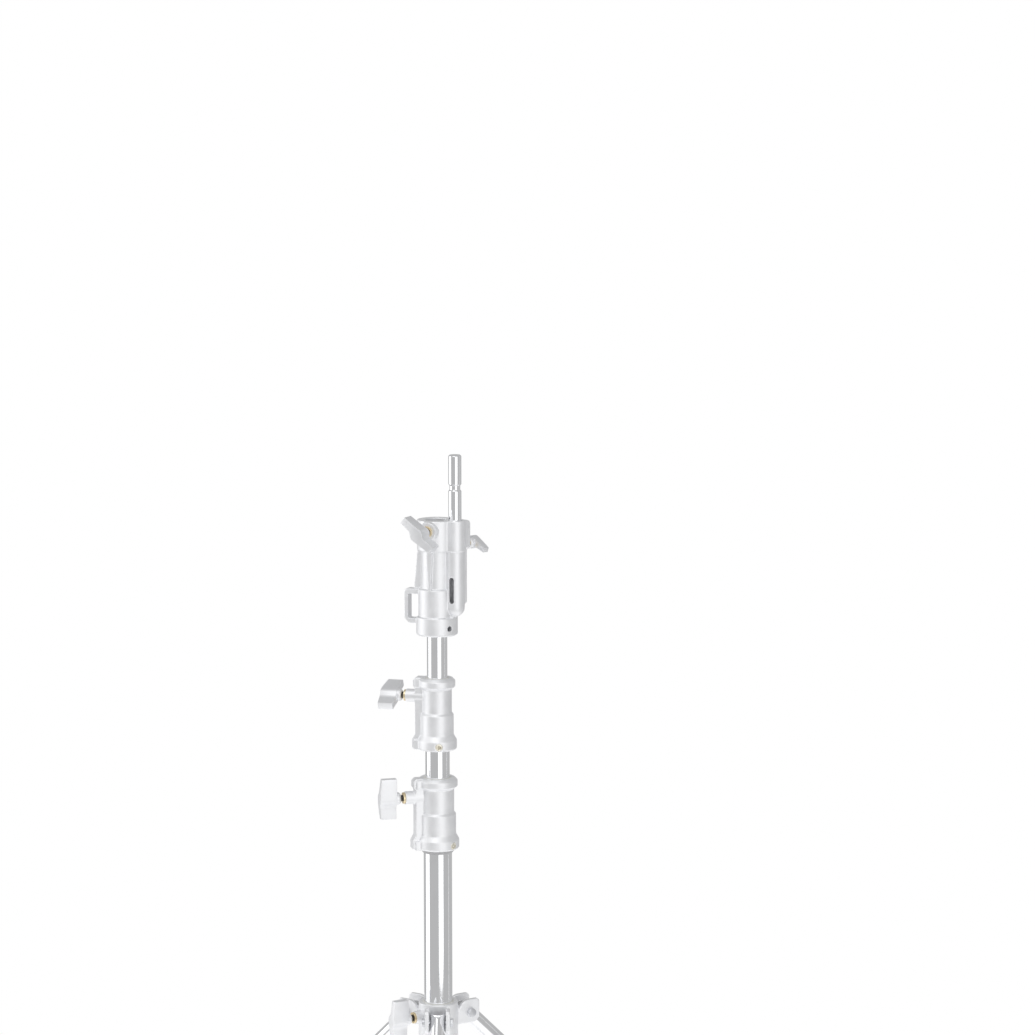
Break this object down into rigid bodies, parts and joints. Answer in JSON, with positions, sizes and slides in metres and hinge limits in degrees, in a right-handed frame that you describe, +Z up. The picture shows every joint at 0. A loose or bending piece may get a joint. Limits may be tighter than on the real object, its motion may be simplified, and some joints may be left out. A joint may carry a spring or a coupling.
{
  "type": "combination light stand",
  "caption": "Folding chrome-tube lighting stand with telescoping risers, cast clamping collars, a receiver and sliding stud head, and braced folding legs.",
  "frame": {"origin": "on the floor, under the axis of the column, on the plane of the feet's flat soles with the legs open", "axes": "+Z up the column; +X to the right seen from the side that the receiver's knob faces; one leg points along -Y"},
  "size_m": [0.9244, 0.8045, 1.1935],
  "materials": {
    "cast_aluminium": "sand-cast, tumbled, fine satin grain",
    "bright_aluminium": "die-cast handle, vibrated to a soft bright finish",
    "chrome_tube": "chrome-plated drawn steel tube",
    "plated_steel": "zinc-plated steel",
    "dark_screw": "blackened steel thread",
    "yellow_screw": "yellow-passivated steel",
    "brass": "turned brass",
    "grey_plastic": "moulded grey nylon",
    "white_nylon": "natural nylon",
    "rubber": "moulded black rubber"
  },
  "bodies": {
    "base": {"base_tube": "chrome_tube", "base_collar": "cast_aluminium", "base_collar_liner": "white_nylon", "base_collar_screws": "yellow_screw", "base_collar_bumper": "grey_plastic", "base_collar_bush": "brass", "lower_hub": "cast_aluminium", "lower_hub_screws": "plated_steel", "brace_pivot_bolts": "plated_steel", "brace_pivot_nuts": "plated_steel", "base_end_cap": "grey_plastic"},
    "base_shoe": {"base_collar_shoe": "brass"},
    "base_knob": {"base_collar_knob": "bright_aluminium", "base_collar_screw": "dark_screw"},
    "middle_guide": {"middle_riser_guide": "white_nylon"},
    "middle_riser": {"middle_riser_tube": "chrome_tube", "middle_collar": "cast_aluminium", "middle_collar_liner": "white_nylon", "middle_collar_screws": "yellow_screw", "middle_collar_bush": "brass"},
    "middle_shoe": {"middle_collar_shoe": "brass"},
    "middle_knob": {"middle_collar_knob": "bright_aluminium", "middle_collar_screw": "dark_screw"},
    "top_guide": {"top_riser_guide": "white_nylon"},
    "top_riser": {"top_riser_tube": "chrome_tube", "head_casting": "cast_aluminium", "head_set_screws": "dark_screw", "receiver_bush": "brass", "stud_bush": "brass"},
    "receiver_shoe": {"receiver_shoe": "brass"},
    "receiver_knob": {"receiver_knob": "bright_aluminium", "receiver_screw": "dark_screw"},
    "stud_shoe": {"stud_shoe": "brass"},
    "stud_knob": {"stud_knob": "bright_aluminium", "stud_screw": "dark_screw"},
    "stud": {"baby_stud": "chrome_tube"},
    "leg_hub": {"leg_hub": "cast_aluminium", "leg_hub_liner": "white_nylon", "leg_hub_bush": "brass", "leg_pivot_bolts": "plated_steel", "leg_pivot_nuts": "plated_steel"},
    "hub_shoe": {"leg_hub_shoe": "brass"},
    "hub_knob": {"leg_hub_knob": "bright_aluminium", "leg_hub_screw": "dark_screw"},
    "leg_a": {"leg_a_tube": "chrome_tube", "leg_a_plug": "grey_plastic", "leg_a_foot": "rubber"},
    "brace_a": {"brace_a": "plated_steel", "brace_a_bolt": "plated_steel"},
    "leg_b": {"leg_b_tube": "chrome_tube", "leg_b_plug": "grey_plastic", "leg_b_foot": "rubber"},
    "brace_b": {"brace_b": "plated_steel", "brace_b_bolt": "plated_steel"},
    "leg_c": {"leg_c_tube": "chrome_tube", "leg_c_plug": "grey_plastic", "leg_c_foot": "rubber"},
    "brace_c": {"brace_c": "plated_steel", "brace_c_bolt": "plated_steel"}
  },
  "joints": [
    {"name": "middle_riser_slide", "type": "slide", "parent": "base", "child": "middle_guide", "axis": [0, 0, 1], "range_m": [-0.034, 0.6]},
    {"name": "middle_riser_turn", "type": "hinge", "parent": "middle_guide", "child": "middle_riser", "pos_m": [0, 0, 0.70401], "axis": [0, 0, 1], "continuous": true},
    {"name": "top_riser_slide", "type": "slide", "parent": "middle_riser", "child": "top_guide", "axis": [0, 0, 1], "range_m": [-0.052, 0.62]},
    {"name": "top_riser_turn", "type": "hinge", "parent": "top_guide", "child": "top_riser", "pos_m": [0, 0, 0.82851], "axis": [0, 0, 1], "continuous": true},
    {"name": "stud_slide", "type": "slide", "parent": "top_riser", "child": "stud", "axis": [0, 0, 1], "range_m": [-0.073, 0]},
    {"name": "base_screw_travel", "type": "slide", "parent": "base", "child": "base_shoe", "axis": [-0.9613, -0.2756, 0], "range_m": [0, 0.0025]},
    {"name": "base_knob_turn", "type": "hinge", "parent": "base_shoe", "child": "base_knob", "pos_m": [0, 0, 0.76921], "axis": [-0.9613, -0.2756, 0], "range_deg": [0, 720]},
    {"name": "middle_screw_travel", "type": "slide", "parent": "middle_riser", "child": "middle_shoe", "axis": [-0.9659, 0.2588, 0], "range_m": [0, 0.0025]},
    {"name": "middle_knob_turn", "type": "hinge", "parent": "middle_shoe", "child": "middle_knob", "pos_m": [0, 0, 0.89371], "axis": [-0.9659, 0.2588, 0], "range_deg": [0, 720]},
    {"name": "receiver_screw_travel", "type": "slide", "parent": "top_riser", "child": "receiver_shoe", "axis": [-0.3907, -0.9205, 0], "range_m": [-0.00125, 0.0025]},
    {"name": "receiver_knob_turn", "type": "hinge", "parent": "receiver_shoe", "child": "receiver_knob", "pos_m": [0, 0, 1.10101], "axis": [-0.3907, -0.9205, 0], "range_deg": [-360, 720]},
    {"name": "stud_screw_travel", "type": "slide", "parent": "top_riser", "child": "stud_shoe", "axis": [0.7071, 0.7071, 0], "range_m": [0, 0.0025]},
    {"name": "stud_knob_turn", "type": "hinge", "parent": "stud_shoe", "child": "stud_knob", "pos_m": [0.02255, -0.00957, 1.08401], "axis": [0.7071, 0.7071, 0], "range_deg": [0, 720]},
    {"name": "leg_fold", "type": "hinge", "parent": "base", "child": "brace_a", "pos_m": [0.03291, 0.019, 0.06795], "axis": [0.5, -0.866, 0], "range_deg": [0, 41]},
    {"name": "leg_a_brace_pivot", "type": "hinge", "parent": "brace_a", "child": "leg_a", "pos_m": [0.21662, 0.12507, 0.28008], "axis": [0.5, -0.866, 0], "range_deg": [-82, 0]},
    {"name": "leg_a_hub_pivot", "type": "hinge", "parent": "leg_a", "child": "leg_hub", "pos_m": [0.03291, 0.019, 0.49221], "axis": [0.5, -0.866, 0], "range_deg": [0, 41]},
    {"name": "leg_b_hub_pivot", "type": "hinge", "parent": "leg_hub", "child": "leg_b", "pos_m": [-0.03291, 0.019, 0.49221], "axis": [0.5, 0.866, 0], "range_deg": [-41, 0]},
    {"name": "brace_b_pivot", "type": "hinge", "parent": "base", "child": "brace_b", "pos_m": [-0.03291, 0.019, 0.06795], "axis": [0.5, 0.866, 0], "range_deg": [0, 41]},
    {"name": "leg_c_hub_pivot", "type": "hinge", "parent": "leg_hub", "child": "leg_c", "pos_m": [0, -0.038, 0.49221], "axis": [-1, 0, 0], "range_deg": [-41, 0]},
    {"name": "brace_c_pivot", "type": "hinge", "parent": "base", "child": "brace_c", "pos_m": [0, -0.038, 0.06795], "axis": [-1, 0, 0], "range_deg": [0, 41]},
    {"name": "hub_screw_travel", "type": "slide", "parent": "leg_hub", "child": "hub_shoe", "axis": [-0.866, -0.5, 0], "range_m": [0, 0.0025]},
    {"name": "hub_knob_turn", "type": "hinge", "parent": "hub_shoe", "child": "hub_knob", "pos_m": [0, 0, 0.49221], "axis": [-0.866, -0.5, 0], "range_deg": [0, 720]}
  ],
  "couplings": [
    {"joint": "base_screw_travel", "follows": "base_knob_turn", "m_per_rad": 0.00019894},
    {"joint": "middle_screw_travel", "follows": "middle_knob_turn", "m_per_rad": 0.00019894},
    {"joint": "receiver_screw_travel", "follows": "receiver_knob_turn", "m_per_rad": 0.00019894},
    {"joint": "stud_screw_travel", "follows": "stud_knob_turn", "m_per_rad": 0.00019894},
    {"joint": "leg_a_brace_pivot", "follows": "leg_fold", "ratio": -2},
    {"joint": "leg_a_hub_pivot", "follows": "leg_fold", "ratio": 1},
    {"joint": "leg_b_hub_pivot", "follows": "leg_fold", "ratio": -1},
    {"joint": "brace_b_pivot", "follows": "leg_fold", "ratio": 1},
    {"joint": "leg_c_hub_pivot", "follows": "leg_fold", "ratio": -1},
    {"joint": "brace_c_pivot", "follows": "leg_fold", "ratio": 1},
    {"joint": "hub_screw_travel", "follows": "hub_knob_turn", "m_per_rad": 0.00019894}
  ]
}
